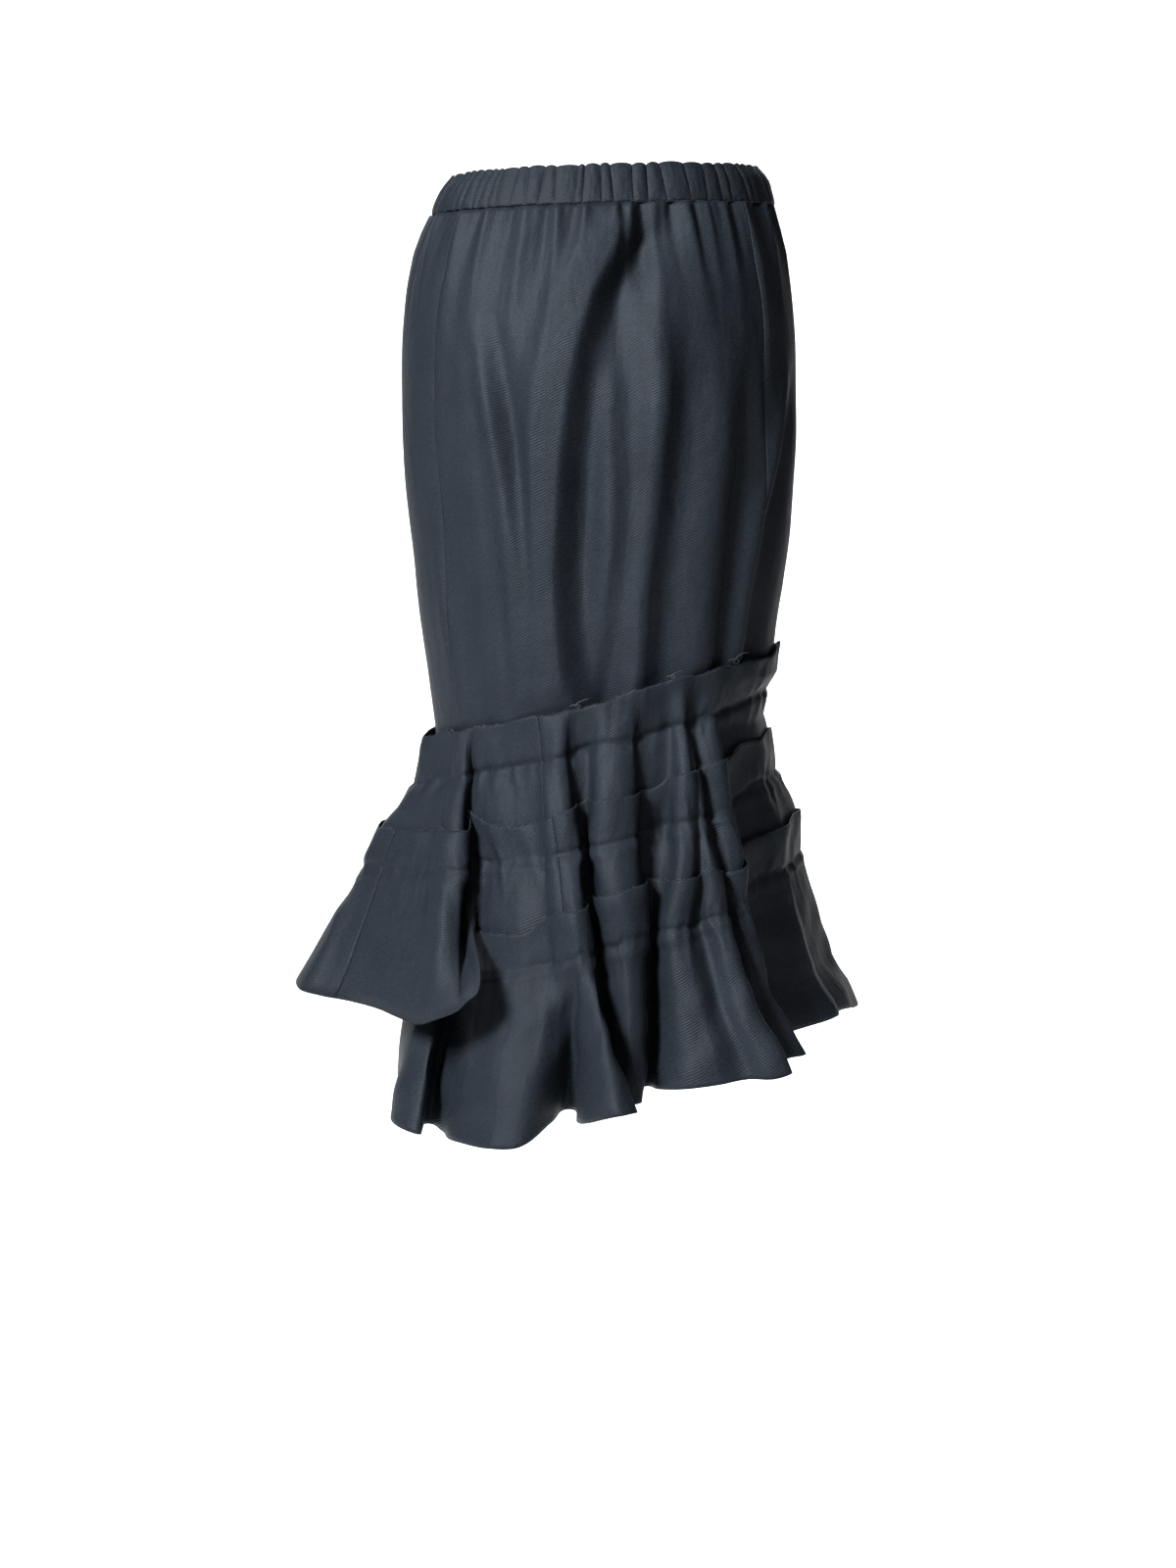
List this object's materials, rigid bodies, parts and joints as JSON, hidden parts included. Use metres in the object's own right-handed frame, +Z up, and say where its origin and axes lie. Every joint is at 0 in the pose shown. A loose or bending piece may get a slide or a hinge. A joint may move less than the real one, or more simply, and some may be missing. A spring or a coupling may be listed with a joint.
{
  "type": "ruffled skirt",
  "caption": "Worn-form skirt with an elasticated waistband, a plain upper body and tilted tiers of pleated flounce, open at waist and hem.",
  "frame": {"origin": "centre of the waist opening at the top edge of the waistband, where the wearer's waist holds the skirt", "axes": "+Z up along the skirt's length, -Y toward the wearer's back, +X toward the wearer's right"},
  "size_m": [0.4676, 0.4815, 0.7481],
  "materials": {
    "skirt_cloth": "soft satin twill",
    "band_cloth": "gathered satin twill"
  },
  "bodies": {
    "root": {"waistband": "band_cloth", "back_panel": "skirt_cloth", "front_panel": "skirt_cloth", "flounce_1_left": "skirt_cloth", "flounce_1_right": "skirt_cloth", "flounce_2_side": "skirt_cloth", "flounce_2_left": "skirt_cloth", "flounce_2_right": "skirt_cloth", "flounce_3_front": "skirt_cloth", "flounce_3_back": "skirt_cloth"}
  },
  "joints": []
}
